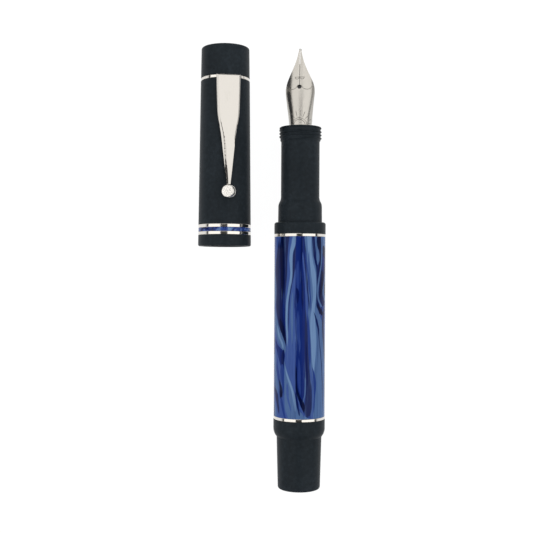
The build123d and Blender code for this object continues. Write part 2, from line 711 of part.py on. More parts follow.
with BuildPart() as cap_tube:
    with BuildSketch(CAP):
        with BuildLine():
            Polyline(
                (band_bore, UPPER_BAND_FRONT),
                (CAP_TUBE_LOW_RADIUS, UPPER_BAND_FRONT),
                (CAP_TUBE_TOP_RADIUS, CAP_TUBE_FRONT),
                (CROWN_TENON_RADIUS + GLUE_GAP, CAP_TUBE_FRONT),
                (CROWN_TENON_RADIUS + GLUE_GAP, INNER_CAP_STEP),
                (INNER_CAP_RADIUS + GLUE_GAP, INNER_CAP_STEP),
                (INNER_CAP_RADIUS + GLUE_GAP, CAP_SEAT_DEPTH),
                (CAP_THREAD_RADIUS, CAP_SEAT_DEPTH),
                (CAP_THREAD_RADIUS, CAP_THREAD_DEPTH),
                (CAP_BORE_RADIUS, CAP_THREAD_DEPTH),
                (CAP_BORE_RADIUS, LIP_TENON_FRONT),
                (band_bore, LIP_TENON_FRONT),
                close=True,
            )
        make_face()
    revolve(axis=CAP_AXIS)
cap_tube.part.label = "cap_tube"
export_step(cap_tube.part, "parts/cap_tube.step")

# Closed liner inside the cap that keeps the nib from drying
with BuildPart() as inner_cap:
    with BuildSketch(CAP):
        with BuildLine():
            Polyline(
                (INNER_CAP_RADIUS - INNER_CAP_WALL, CAP_SEAT_DEPTH),
                (INNER_CAP_RADIUS, CAP_SEAT_DEPTH),
                (INNER_CAP_RADIUS, INNER_CAP_CONE_REAR),
                (INNER_CAP_STEM_RADIUS, INNER_CAP_CONE_FRONT),
                (INNER_CAP_STEM_RADIUS, INNER_CAP_END),
                (0, INNER_CAP_END),
                (0, INNER_CAP_END - INNER_CAP_WALL),
                (INNER_CAP_STEM_RADIUS - INNER_CAP_WALL, INNER_CAP_END - INNER_CAP_WALL),
                (INNER_CAP_STEM_RADIUS - INNER_CAP_WALL, INNER_CAP_CONE_FRONT),
                (INNER_CAP_RADIUS - INNER_CAP_WALL, INNER_CAP_CONE_REAR),
                close=True,
            )
        make_face()
    revolve(axis=CAP_AXIS)
inner_cap.part.label = "inner_cap"
export_step(inner_cap.part, "parts/inner_cap.step")

# Ring clamped under the crown, notched for the clip's tab
with BuildPart() as clip_ring:
    with BuildSketch(CAP):
        with BuildLine():
            Polyline(
                (CROWN_TENON_RADIUS + GLUE_GAP, CAP_TUBE_FRONT),
                (CLIP_RING_RADIUS, CAP_TUBE_FRONT),
                (CLIP_RING_RADIUS, CLIP_RING_FRONT),
                (CROWN_TENON_RADIUS + GLUE_GAP, CLIP_RING_FRONT),
                close=True,
            )
        make_face()
    revolve(axis=CAP_AXIS)
    fillet(clip_ring.edges().filter_by(GeomType.CIRCLE).group_by(SortBy.RADIUS)[-1], RING_EDGE)
    with BuildSketch(cross_plane(CAP, CAP_TUBE_FRONT, CAP.z_dir, CAP.x_dir)):
        with Locations((0, CLIP_TAB_INNER - CLIP_SLOT_ROOM)):
            notch_width = CLIP_TAB_WIDTH + 2 * CLIP_SLOT_ROOM
            Rectangle(notch_width, CLIP_RING_RADIUS, align=(Align.CENTER, Align.MIN))
    extrude(amount=CLIP_RING_FRONT - CAP_TUBE_FRONT, mode=Mode.SUBTRACT)
clip_ring.part.label = "clip_ring"
export_step(clip_ring.part, "parts/clip_ring.step")

with BuildPart() as crown:
    with BuildSketch(CAP):
        with BuildLine():
            Polyline(
                (0, CROWN_BORE_END),
                (CROWN_BORE_RADIUS, CROWN_BORE_END),
                (CROWN_BORE_RADIUS, CROWN_TENON_REAR),
                (CROWN_TENON_RADIUS, CROWN_TENON_REAR),
                (CROWN_TENON_RADIUS, CLIP_RING_FRONT),
                (CROWN_LOW_RADIUS, CLIP_RING_FRONT),
                (CROWN_TOP_RADIUS, CAP_LENGTH),
                (0, CAP_LENGTH),
                close=True,
            )
        make_face()
    revolve(axis=CAP_AXIS)
    fillet(crown.edges().filter_by(GeomType.CIRCLE).group_by(CAP_AXIS)[-1], CROWN_EDGE)
crown.part.label = "crown"
export_step(crown.part, "parts/crown.step")

# ================================ Clip ================================

# The clip is a tapering strip, broad up to a shoulder, its flat face rounded down to both sides.
# Rows a step apart, the first a step above its top, where it is cut off: width, and width and
# drop of the rounding at each side.
CLIP_SHAPE = (
    (7.00, 0.62, 0.40),
    (6.95, 0.62, 0.40),
    (6.85, 0.62, 0.40),
    (6.70, 0.62, 0.40),
    (6.52, 0.64, 0.40),
    (6.18, 0.66, 0.39),
    (5.20, 0.76, 0.37),
    (4.15, 0.92, 0.34),
    (3.50, 1.05, 0.29),
    (2.85, 0.92, 0.20),
    (2.20, 0.74, 0.13),
    (1.50, 0.60, 0.09),
    (1.15, 0.46, 0.06),
)

with BuildPart() as clip_strip:
    for row, (width, side, drop) in enumerate(CLIP_SHAPE):
        below_top = CLIP_STEP * (row - 1)
        height = CLIP_ROOT_HEIGHT + CLIP_RISE * below_top
        half = width / 2
        flat = half - side
        with BuildSketch(cross_plane(CAP, CLIP_TOP - below_top, CAP.z_dir, CAP.x_dir)):
            with BuildLine():
                Line((-flat, height), (flat, height))
                TangentArc((flat, height), (half, height - drop), tangent=(1, 0))
                foot = height - CLIP_THICKNESS
                Polyline((half, height - drop), (half, foot), (-half, foot), (-half, height - drop))
                TangentArc((-flat, height), (-half, height - drop), tangent=(-1, 0))
            make_face()
    loft()
    with BuildSketch(CAP):
        with BuildLine():
            roll = TangentArc(
                (CLIP_ROOT_HEIGHT - CLIP_ROLL, CLIP_TOP),
                (CLIP_ROOT_HEIGHT + CLIP_ROLL / 6, CLIP_TOP - CLIP_ROLL),
                tangent=(1, 0),
            )
            ball_top = BALL_HEIGHT + BALL_RADIUS
            Polyline(roll @ 1, (ball_top, BALL_STATION), (0, BALL_STATION), (0, CLIP_TOP), roll @ 0)
        make_face()
    extrude(amount=CLIP_SHAPE[0][0], both=True, mode=Mode.INTERSECT)
    with BuildSketch(cross_plane(CAP, CLIP_TAB_REAR, CAP.z_dir, CAP.x_dir)):
        with Locations((0, CLIP_TAB_INNER)):
            Rectangle(CLIP_TAB_WIDTH, CLIP_TAB_OUTER - CLIP_TAB_INNER, align=(Align.CENTER, Align.MIN))
    extrude(amount=CLIP_TOP - CLIP_TAB_REAR)
    with Locations(CAP.location * Location((BALL_HEIGHT, BALL_STATION, 0))):
        Sphere(BALL_RADIUS, mode=Mode.SUBTRACT)
clip_strip.part.label = "clip_strip"
export_step(clip_strip.part, "parts/clip_strip.step")

ball_centre = CAP.origin + CAP.x_dir * BALL_HEIGHT + CAP.y_dir * BALL_STATION
face_lean = radians(BALL_FACE_LEAN)
face_normal = cap_up * cos(face_lean) - Vector(1, 0, 0) * sin(face_lean)
face_rim = sqrt(BALL_RADIUS**2 - BALL_FACE**2)

with BuildPart() as clip_ball:
    ball_plane = Plane(origin=ball_centre, x_dir=CAP.y_dir, z_dir=CAP.y_dir.cross(face_normal))
    with BuildSketch(ball_plane) as ball_profile:
        with BuildLine():
            ThreePointArc((0, -BALL_RADIUS), (BALL_RADIUS, 0), (face_rim, BALL_FACE))
            Polyline((face_rim, BALL_FACE), (0, BALL_FACE), (0, -BALL_RADIUS))
        make_face()
        fillet(ball_profile.vertices().sort_by(Axis.X)[-1], BALL_FACE_EDGE)
    revolve(axis=Axis(ball_centre, face_normal))
clip_ball.part.label = "clip_ball"
export_step(clip_ball.part, "parts/clip_ball.step")
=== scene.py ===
import json
import math

import bpy
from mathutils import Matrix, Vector


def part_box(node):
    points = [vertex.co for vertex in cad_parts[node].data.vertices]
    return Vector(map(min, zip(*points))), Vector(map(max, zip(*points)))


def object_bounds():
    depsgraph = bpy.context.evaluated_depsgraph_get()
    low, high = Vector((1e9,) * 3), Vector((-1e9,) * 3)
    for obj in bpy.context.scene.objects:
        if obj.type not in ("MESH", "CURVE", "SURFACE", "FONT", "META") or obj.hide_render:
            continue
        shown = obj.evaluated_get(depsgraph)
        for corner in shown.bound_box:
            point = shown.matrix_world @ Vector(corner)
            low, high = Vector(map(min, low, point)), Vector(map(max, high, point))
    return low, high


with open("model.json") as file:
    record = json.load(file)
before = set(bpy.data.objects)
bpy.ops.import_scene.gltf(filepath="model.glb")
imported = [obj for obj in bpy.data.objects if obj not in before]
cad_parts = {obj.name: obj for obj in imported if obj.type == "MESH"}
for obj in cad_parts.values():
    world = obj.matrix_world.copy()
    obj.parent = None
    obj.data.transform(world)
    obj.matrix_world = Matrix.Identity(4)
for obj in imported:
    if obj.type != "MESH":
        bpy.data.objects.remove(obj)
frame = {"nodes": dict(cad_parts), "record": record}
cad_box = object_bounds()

# Looks of a fountain pen that lies beside its cap: materials, floor, lights and camera.
# Every shape is the CAD frame's own, so all positions come from its boxes, in metres.

MM = 0.001
SLEEVE_LOW, SLEEVE_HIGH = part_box("barrel_sleeve")
PEN_X = (SLEEVE_LOW.x + SLEEVE_HIGH.x) / 2
PEN_Z = (SLEEVE_LOW.z + SLEEVE_HIGH.z) / 2
BARREL_RADIUS = (SLEEVE_HIGH.x - SLEEVE_LOW.x) / 2
SLEEVE_LENGTH = SLEEVE_HIGH.y - SLEEVE_LOW.y
NIB_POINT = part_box("nib_tip")[1].y
NIB_ROLL = math.radians(9)  # the nib leans towards the cap


# ---------------------------------------------------------------- node expressions

def srgb(red, green, blue):
    """A linear colour from the display values 0 to 255."""
    def linear(value):
        value /= 255
        return value / 12.92 if value <= 0.04045 else ((value + 0.055) / 1.055) ** 2.4
    return (linear(red), linear(green), linear(blue), 1.0)


class Value:
    """A number socket that Python's own signs add Math nodes to."""

    def __init__(self, kit, socket):
        self.kit = kit
        self.socket = socket

    def __add__(self, other):
        return self.kit.math("ADD", self, other)

    __radd__ = __add__

    def __sub__(self, other):
        return self.kit.math("SUBTRACT", self, other)

    def __rsub__(self, other):
        return self.kit.math("SUBTRACT", other, self)

    def __mul__(self, other):
        return self.kit.math("MULTIPLY", self, other)

    def __truediv__(self, other):
        return self.kit.math("DIVIDE", self, other)

    def __abs__(self):
        return self.kit.math("ABSOLUTE", self)


class Kit:
    """Builds one material's nodes; x, y and z are the place on the object, in metres."""

    def __init__(self, name):
        self.material = bpy.data.materials.new(name)
        self.material.use_nodes = True
        self.tree = self.material.node_tree
        self.shader = self.tree.nodes["Principled BSDF"]
        place = self.tree.nodes.new("ShaderNodeTexCoord").outputs["Object"]
        split = self.tree.nodes.new("ShaderNodeSeparateXYZ")
        self.tree.links.new(place, split.inputs[0])
        self.x, self.y, self.z = (Value(self, out) for out in split.outputs)

    def plug(self, target, source):
        """Links a value or colour socket to the target, or sets the target to a number or colour."""
        if isinstance(source, Value):
            self.tree.links.new(source.socket, target)
        elif hasattr(source, "is_output"):
            self.tree.links.new(source, target)
        else:
            target.default_value = source

    def math(self, operation, *terms):
        """A Math node; terms are Values or plain numbers."""
        node = self.tree.nodes.new("ShaderNodeMath")
        node.operation = operation
        for socket, term in zip(node.inputs, terms):
            self.plug(socket, term)
        return Value(self, node.outputs[0])

    def noise(self, x, y, z, scale, detail, roughness=0.5, distortion=0.0):
        """Noise from 0 to 1 with scale cells in a metre; weights on x, y and z stretch it."""
        vector = self.tree.nodes.new("ShaderNodeCombineXYZ")
        for socket, term in zip(vector.inputs, (x, y, z)):
            self.plug(socket, term)
        node = self.tree.nodes.new("ShaderNodeTexNoise")
        self.plug(node.inputs["Vector"], vector.outputs[0])
        node.inputs["Scale"].default_value = scale
        node.inputs["Detail"].default_value = detail
        node.inputs["Roughness"].default_value = roughness
        node.inputs["Distortion"].default_value = distortion
        return Value(self, node.outputs[0])

    def ramp(self, factor, stops):
        """Colour ramp; stops are (position, colour)."""
        node = self.tree.nodes.new("ShaderNodeValToRGB")
        elements = node.color_ramp.elements
        while len(elements) < len(stops):
            elements.new(0.5)
        for element, (position, colour) in zip(elements, stops):
            element.position = position
            element.color = colour
        self.plug(node.inputs[0], factor)
        return node.outputs[0]

    def curve(self, factor, points):
        """Smooth curve through (position, value) points, both from 0 to 1."""
        node = self.tree.nodes.new("ShaderNodeFloatCurve")
        line = node.mapping.curves[0]
        while len(line.points) < len(points):
            line.points.new(0.5, 0.5)
        for point, (position, value) in zip(line.points, points):
            point.location = (position, value)
        node.mapping.update()
        self.plug(node.inputs["Value"], factor)
        return Value(self, node.outputs[0])

    def mix(self, factor, first, second):
        """Colour between first (factor 0) and second (factor 1)."""
        node = self.tree.nodes.new("ShaderNodeMix")
        node.data_type = "RGBA"
        first_colour, second_colour = (socket for socket in node.inputs if socket.type == "RGBA")
        self.plug(node.inputs[0], factor)
        self.plug(first_colour, first)
        self.plug(second_colour, second)
        return next(socket for socket in node.outputs if socket.type == "RGBA")

    def step(self, value, start, end):
        """Rises smoothly from 0 at start to 1 at end."""
        node = self.tree.nodes.new("ShaderNodeMapRange")
        node.interpolation_type = "SMOOTHSTEP"
        self.plug(node.inputs["Value"], value)
        self.plug(node.inputs["From Min"], start)
        self.plug(node.inputs["From Max"], end)
        return Value(self, node.outputs["Result"])

    def bump(self, height, distance, strength):
        node = self.tree.nodes.new("ShaderNodeBump")
        node.inputs["Strength"].default_value = strength
        node.inputs["Distance"].default_value = distance
        self.plug(node.inputs["Height"], height)
        self.plug(self.shader.inputs["Normal"], node.outputs[0])

    def finish(self, colour, roughness, **sockets):
        """Plugs in colour and roughness; the other sockets are set to plain numbers or colours."""
        self.plug(self.shader.inputs["Base Color"], colour)
        self.plug(self.shader.inputs["Roughness"], roughness)
        for name, value in sockets.items():
            self.shader.inputs[name.replace("_", " ")].default_value = value
        return self.material


# ---------------------------------------------------------------- marbled acrylic

NEAR_BLACK = srgb(3, 12, 52)
NAVY = srgb(9, 23, 78)
DEEP = srgb(18, 38, 106)
ROYAL = srgb(37, 59, 126)
INDIGO = srgb(29, 39, 84)
DUSK = srgb(42, 50, 84)
PERIWINKLE = srgb(58, 82, 145)
STEEL = srgb(74, 102, 148)
LIGHT_STEEL = srgb(104, 134, 175)

# Streaks of the barrel as they lie seen from above, painted one over the other. Each has a colour
# and rows of: place along the sleeve from its front (0 to 1), left edge and right edge across the
# barrel (-1 to 1).
BROAD_BANDS = (
    (PERIWINKLE, (
        (0.0, -1.1, -0.3), (0.4, -1.1, -0.4), (0.7, -1.1, -0.2), (1.0, -1.1, -0.2))),
    (STEEL, (
        (0.0, 0.13, 0.46), (0.06, 0.18, 0.48), (0.12, 0.2, 0.55), (0.18, 0.24, 0.62),
        (0.24, 0.27, 0.63), (0.3, 0.3, 0.63), (0.38, 0.31, 0.64), (0.42, 0.28, 0.72),
        (0.46, 0.27, 0.82), (0.6, 0.3, 0.9), (0.7, 0.36, 1.0), (0.8, 0.42, 1.05), (0.9, 0.44, 1.1),
        (1.0, 0.4, 1.1))),
    (DEEP, (
        (0.0, -0.2, 0.14), (0.1, -0.21, 0.16), (0.2, -0.22, 0.2), (0.28, -0.2, 0.22), (0.4, -0.21, 0.2),
        (0.5, -0.2, 0.18), (0.6, -0.17, 0.18), (0.7, -0.18, 0.19), (0.8, -0.15, 0.2),
        (0.85, -0.13, 0.18), (0.88, -0.06, 0.15), (0.91, 0.06, 0.08))),
)
LEFT_FRONT = (
    (INDIGO, (
        (0.04, -0.86, -0.8), (0.1, -0.91, -0.78), (0.2, -0.95, -0.78), (0.3, -0.93, -0.78),
        (0.4, -0.93, -0.78), (0.46, -0.87, -0.78), (0.5, -0.83, -0.81))),
    (STEEL, (
        (0.12, -1.06, -1.0), (0.2, -1.06, -0.96), (0.28, -1.06, -0.92), (0.36, -1.06, -0.94),
        (0.4, -1.06, -1.0))),
    (NAVY, (
        (0.0, -0.77, -0.58), (0.1, -0.81, -0.58), (0.3, -0.79, -0.58), (0.45, -0.8, -0.58),
        (0.5, -0.8, -0.58), (0.54, -0.73, -0.56), (0.58, -0.63, -0.55), (0.61, -0.56, -0.56))),
    (NEAR_BLACK, (
        (0.0, -0.74, -0.62), (0.05, -0.78, -0.62), (0.15, -0.78, -0.62), (0.24, -0.76, -0.63),
        (0.3, -0.73, -0.66), (0.34, -0.7, -0.7))),
    (NEAR_BLACK, (
        (0.45, -0.8, -0.78), (0.48, -0.8, -0.67), (0.52, -0.76, -0.6), (0.56, -0.66, -0.56),
        (0.59, -0.58, -0.55), (0.61, -0.55, -0.55))),
    (DEEP, (
        (0.3, -0.64, -0.64), (0.36, -0.67, -0.6), (0.42, -0.68, -0.6), (0.47, -0.64, -0.6),
        (0.5, -0.6, -0.6))),
    (INDIGO, (
        (0.0, -0.6, -0.44), (0.1, -0.59, -0.5), (0.2, -0.59, -0.52), (0.28, -0.59, -0.56),
        (0.32, -0.58, -0.58))),
    (LIGHT_STEEL, (
        (0.0, -0.31, -0.2), (0.03, -0.34, -0.2), (0.06, -0.39, -0.23), (0.09, -0.43, -0.29),
        (0.12, -0.44, -0.31), (0.16, -0.42, -0.31), (0.2, -0.4, -0.31), (0.25, -0.44, -0.34),
        (0.3, -0.49, -0.41), (0.35, -0.54, -0.46), (0.4, -0.57, -0.48), (0.48, -0.57, -0.49),
        (0.54, -0.54, -0.47), (0.58, -0.52, -0.48), (0.61, -0.5, -0.5))),
    (INDIGO, (
        (0.05, -0.2, -0.2), (0.09, -0.28, -0.2), (0.14, -0.3, -0.21), (0.2, -0.3, -0.23),
        (0.25, -0.33, -0.28), (0.3, -0.4, -0.37), (0.36, -0.45, -0.41), (0.44, -0.47, -0.43),
        (0.5, -0.47, -0.45), (0.56, -0.46, -0.46))),
    (PERIWINKLE, (
        (0.17, -0.2, -0.2), (0.22, -0.26, -0.19), (0.28, -0.34, -0.2), (0.36, -0.41, -0.23),
        (0.44, -0.42, -0.22), (0.52, -0.44, -0.2), (0.6, -0.5, -0.19), (0.7, -0.56, -0.2),
        (0.78, -0.5, -0.24), (0.82, -0.4, -0.28))),
    (STEEL, (
        (0.3, -0.3, -0.3), (0.36, -0.35, -0.28), (0.42, -0.37, -0.28), (0.5, -0.36, -0.28),
        (0.56, -0.34, -0.3), (0.6, -0.33, -0.33))),
)
MIDDLE = (
    (NAVY, (
        (0.0, 0.0, 0.09), (0.06, -0.01, 0.09), (0.12, -0.02, 0.05), (0.2, 0.0, 0.04), (0.28, 0.02, 0.1),
        (0.34, 0.02, 0.12), (0.4, 0.06, 0.08), (0.43, 0.07, 0.07))),
    (ROYAL, (
        (0.13, -0.1, -0.1), (0.18, -0.17, -0.06), (0.24, -0.17, -0.05), (0.3, -0.12, -0.08),
        (0.32, -0.1, -0.1))),
    (NAVY, (
        (0.28, -0.16, -0.16), (0.31, -0.17, -0.06), (0.35, -0.15, -0.08), (0.37, -0.12, -0.12))),
    (ROYAL, (
        (0.4, -0.1, -0.1), (0.46, -0.15, -0.04), (0.54, -0.13, -0.02), (0.6, -0.06, 0.02),
        (0.64, -0.02, -0.02))),
    (ROYAL, (
        (0.66, -0.06, -0.06), (0.72, -0.1, 0.0), (0.8, -0.09, 0.02), (0.85, -0.03, 0.02),
        (0.87, 0.0, 0.0))),
    (PERIWINKLE, (
        (0.08, 0.07, 0.07), (0.12, 0.06, 0.12), (0.18, 0.1, 0.17), (0.24, 0.14, 0.2), (0.3, 0.17, 0.25),
        (0.36, 0.2, 0.29), (0.42, 0.21, 0.28), (0.48, 0.22, 0.25), (0.5, 0.23, 0.23))),
    (INDIGO, (
        (0.1, 0.13, 0.13), (0.14, 0.13, 0.17), (0.2, 0.18, 0.22), (0.26, 0.22, 0.26),
        (0.32, 0.27, 0.31), (0.38, 0.33, 0.36), (0.42, 0.37, 0.37))),
    (ROYAL, (
        (0.08, 0.2, 0.22), (0.16, 0.22, 0.27), (0.24, 0.28, 0.33), (0.32, 0.34, 0.39),
        (0.4, 0.39, 0.43), (0.44, 0.43, 0.43))),
    (INDIGO, (
        (0.4, 0.18, 0.2), (0.46, 0.17, 0.25), (0.52, 0.16, 0.27), (0.6, 0.17, 0.3), (0.68, 0.18, 0.34),
        (0.76, 0.2, 0.38), (0.82, 0.22, 0.43), (0.88, 0.2, 0.45), (0.94, 0.17, 0.44), (0.97, 0.19, 0.4),
        (0.985, 0.3, 0.3))),
    (ROYAL, (
        (0.42, 0.27, 0.27), (0.48, 0.26, 0.34), (0.56, 0.28, 0.38), (0.64, 0.31, 0.4), (0.7, 0.35, 0.4),
        (0.74, 0.38, 0.38))),
    (NAVY, (
        (0.56, 0.22, 0.22), (0.62, 0.2, 0.25), (0.7, 0.2, 0.27), (0.78, 0.24, 0.3), (0.84, 0.25, 0.29),
        (0.88, 0.26, 0.26))),
)
RIGHT_SIDE = (
    (LIGHT_STEEL, (
        (0.0, 0.25, 0.4), (0.08, 0.28, 0.42), (0.14, 0.34, 0.48), (0.2, 0.4, 0.58), (0.28, 0.46, 0.61),
        (0.34, 0.48, 0.6), (0.4, 0.42, 0.56), (0.46, 0.38, 0.58), (0.52, 0.38, 0.6), (0.58, 0.4, 0.62),
        (0.64, 0.42, 0.6), (0.7, 0.46, 0.56), (0.76, 0.52, 0.52))),
    (ROYAL, (
        (0.06, 0.32, 0.32), (0.12, 0.3, 0.33), (0.2, 0.31, 0.34), (0.27, 0.36, 0.38), (0.32, 0.4, 0.4))),
    (NAVY, (
        (0.0, 0.42, 0.53), (0.05, 0.45, 0.55), (0.1, 0.48, 0.58), (0.14, 0.54, 0.64), (0.18, 0.6, 0.7),
        (0.24, 0.62, 0.7), (0.3, 0.62, 0.68), (0.36, 0.61, 0.7), (0.39, 0.63, 0.78), (0.41, 0.7, 0.86),
        (0.43, 0.8, 0.8))),
    (STEEL, (
        (0.0, 0.54, 0.62), (0.04, 0.55, 0.62), (0.08, 0.58, 0.7), (0.12, 0.6, 0.73), (0.145, 0.64, 0.7),
        (0.16, 0.66, 0.66))),
    (STEEL, (
        (0.0, 0.78, 1.05), (0.04, 0.8, 1.05), (0.07, 0.82, 1.05), (0.1, 0.82, 0.9), (0.12, 0.84, 0.84))),
    (NAVY, (
        (0.08, 0.9, 1.05), (0.12, 0.8, 1.05), (0.18, 0.77, 1.05), (0.24, 0.72, 1.05), (0.3, 0.69, 1.05),
        (0.34, 0.7, 1.0), (0.37, 0.76, 0.94), (0.385, 0.84, 0.84))),
    (DEEP, (
        (0.1, 0.86, 0.88), (0.13, 0.84, 0.94), (0.17, 0.84, 0.92), (0.2, 0.86, 0.86))),
    (NEAR_BLACK, (
        (0.18, 0.84, 0.84), (0.22, 0.8, 0.9), (0.27, 0.77, 0.88), (0.31, 0.75, 0.85), (0.35, 0.79, 0.79))),
    (NEAR_BLACK, (
        (0.0, 0.63, 0.79), (0.03, 0.62, 0.81), (0.055, 0.65, 0.81), (0.08, 0.72, 0.81),
        (0.12, 0.73, 0.8), (0.17, 0.71, 0.76), (0.2, 0.71, 0.71))),
    (NEAR_BLACK, (
        (0.05, 0.91, 0.91), (0.07, 0.86, 0.96), (0.09, 0.87, 0.96), (0.12, 0.92, 0.92))),
    (NEAR_BLACK, (
        (0.24, 1.0, 1.0), (0.28, 0.95, 1.05), (0.31, 0.96, 1.05), (0.33, 1.0, 1.0))),
    (NEAR_BLACK, (
        (0.37, 0.65, 0.65), (0.39, 0.66, 0.76), (0.41, 0.72, 0.86), (0.425, 0.78, 0.88),
        (0.435, 0.84, 0.84))),
    (STEEL, (
        (0.08, 0.81, 0.85), (0.14, 0.79, 0.84), (0.18, 0.75, 0.8), (0.24, 0.68, 0.74), (0.3, 0.64, 0.7),
        (0.34, 0.66, 0.72), (0.36, 0.7, 0.77), (0.38, 0.77, 0.84), (0.39, 0.83, 0.83))),
    (STEEL, (
        (0.2, 0.98, 1.06), (0.24, 0.93, 0.98), (0.28, 0.88, 0.92), (0.31, 0.87, 0.93),
        (0.34, 0.91, 1.0), (0.36, 0.98, 1.06))),
    (DUSK, (
        (0.37, 0.94, 0.96), (0.42, 0.87, 0.94), (0.48, 0.84, 0.93), (0.56, 0.87, 0.95),
        (0.62, 0.91, 0.98), (0.68, 0.95, 1.02), (0.73, 1.0, 1.0))),
    (NAVY, (
        (0.41, 0.5, 0.5), (0.45, 0.57, 0.63), (0.48, 0.61, 0.69), (0.51, 0.66, 0.74),
        (0.56, 0.71, 0.75), (0.62, 0.76, 0.79), (0.68, 0.8, 0.83), (0.76, 0.84, 0.87),
        (0.84, 0.865, 0.89), (0.92, 0.88, 0.9), (1.0, 0.9, 0.91))),
    (PERIWINKLE, (
        (0.68, 0.37, 0.37), (0.72, 0.37, 0.41), (0.76, 0.4, 0.46), (0.82, 0.44, 0.5),
        (0.88, 0.45, 0.51), (0.94, 0.45, 0.5), (1.0, 0.42, 0.5))),
    (ROYAL, (
        (0.71, 0.44, 0.44), (0.76, 0.48, 0.57), (0.82, 0.51, 0.61), (0.88, 0.52, 0.58),
        (0.94, 0.51, 0.55), (0.98, 0.52, 0.52))),
)
REAR_HALF = (
    (STEEL, (
        (0.37, -1.03, -1.0), (0.42, -1.02, -0.94), (0.46, -1.0, -0.88), (0.5, -0.97, -0.81),
        (0.54, -0.92, -0.7), (0.58, -0.84, -0.6), (0.61, -0.74, -0.55), (0.63, -0.66, -0.57),
        (0.645, -0.62, -0.62))),
    (LIGHT_STEEL, (
        (0.48, -0.9, -0.9), (0.52, -0.88, -0.82), (0.56, -0.82, -0.74), (0.59, -0.73, -0.65),
        (0.62, -0.65, -0.65))),
    (DEEP, (
        (0.56, -0.95, -0.95), (0.6, -0.93, -0.84), (0.64, -0.88, -0.6), (0.68, -0.81, -0.6),
        (0.72, -0.73, -0.61), (0.76, -0.65, -0.65))),
    (NAVY, (
        (0.62, -0.64, -0.64), (0.65, -0.72, -0.6), (0.69, -0.72, -0.62), (0.72, -0.66, -0.66))),
    (STEEL, (
        (0.6, -1.06, -1.0), (0.66, -1.06, -0.92), (0.72, -1.04, -0.9), (0.78, -1.02, -0.87),
        (0.82, -0.98, -0.83), (0.85, -0.9, -0.83), (0.87, -0.85, -0.85))),
    (ROYAL, (
        (0.66, -0.86, -0.86), (0.72, -0.91, -0.84), (0.77, -0.87, -0.76), (0.81, -0.8, -0.74),
        (0.83, -0.78, -0.78))),
    (ROYAL, (
        (0.7, -0.68, -0.68), (0.74, -0.76, -0.62), (0.79, -0.72, -0.61), (0.84, -0.66, -0.6),
        (0.88, -0.62, -0.62))),
    (STEEL, (
        (0.69, -0.62, -0.6), (0.74, -0.6, -0.5), (0.78, -0.6, -0.4), (0.82, -0.6, -0.3),
        (0.86, -0.61, -0.22), (0.9, -0.6, -0.15), (0.94, -0.58, -0.06), (0.97, -0.52, 0.1),
        (1.0, -0.48, 0.48))),
    (LIGHT_STEEL, (
        (0.7, -0.6, -0.6), (0.76, -0.53, -0.47), (0.8, -0.44, -0.36), (0.84, -0.35, -0.27),
        (0.88, -0.29, -0.2), (0.92, -0.25, -0.17), (0.96, -0.2, -0.2))),
    (PERIWINKLE, (
        (0.8, -0.5, -0.5), (0.84, -0.54, -0.44), (0.89, -0.5, -0.42), (0.93, -0.42, -0.36),
        (0.97, -0.34, -0.34))),
    (NAVY, (
        (0.84, -0.21, -0.21), (0.88, -0.19, -0.13), (0.92, -0.15, -0.07), (0.96, -0.08, -0.02),
        (0.98, -0.03, -0.03))),
    (NEAR_BLACK, (
        (0.7, -0.17, -0.17), (0.74, -0.2, -0.13), (0.8, -0.19, -0.12), (0.84, -0.18, -0.08),
        (0.88, -0.1, 0.02), (0.905, -0.04, 0.13), (0.925, 0.0, 0.18), (0.945, 0.07, 0.18),
        (0.965, 0.14, 0.14))),
    (PERIWINKLE, (
        (0.86, -0.13, -0.13), (0.9, -0.08, -0.05), (0.94, 0.0, 0.05), (0.97, 0.08, 0.14),
        (0.99, 0.16, 0.16))),
    (STEEL, (
        (0.76, 0.175, 0.175), (0.8, 0.18, 0.21), (0.84, 0.18, 0.22), (0.87, 0.16, 0.2),
        (0.89, 0.12, 0.16), (0.91, 0.11, 0.11))),
    (NEAR_BLACK, (
        (0.78, -0.83, -0.83), (0.81, -0.8, -0.73), (0.84, -0.78, -0.67), (0.87, -0.78, -0.67),
        (0.9, -0.73, -0.73))),
    (INDIGO, (
        (0.83, -1.0, -1.0), (0.86, -0.98, -0.87), (0.89, -0.94, -0.82), (0.92, -0.9, -0.81),
        (0.95, -0.86, -0.79), (0.985, -0.8, -0.8))),
    (ROYAL, (
        (0.88, -0.72, -0.72), (0.91, -0.75, -0.65), (0.94, -0.71, -0.62), (0.97, -0.66, -0.58),
        (1.0, -0.6, -0.52))),
    (STEEL, (
        (0.89, -1.06, -1.0), (0.94, -1.06, -0.92), (1.0, -1.06, -0.88))),
)
STREAKS = BROAD_BANDS + LEFT_FRONT + MIDDLE + RIGHT_SIDE + REAR_HALF
STREAK_BLUR = (-0.014, 0.018)  # where a streak's edge starts and ends, as a part of the radius
STREAK_TIP_BLUR = 0.012
TOP_BLUR = (0.06, 0.20)  # heights over the axis, in radii, where the streaks start and are full
ACRYLIC_IOR = 1.49


def streak_mask(kit, across, along, rows):
    """1 inside the streak and 0 outside it."""
    middle = kit.curve(along, [(place, (left + right + 2) / 4) for place, left, right in rows])
    half = kit.curve(along, [(place, (right - left) / 2) for place, left, right in rows])
    inside = half - abs(across - (middle * 2 - 1))
    return kit.step(inside, *STREAK_BLUR) * kit.step(half, 0.0, STREAK_TIP_BLUR)


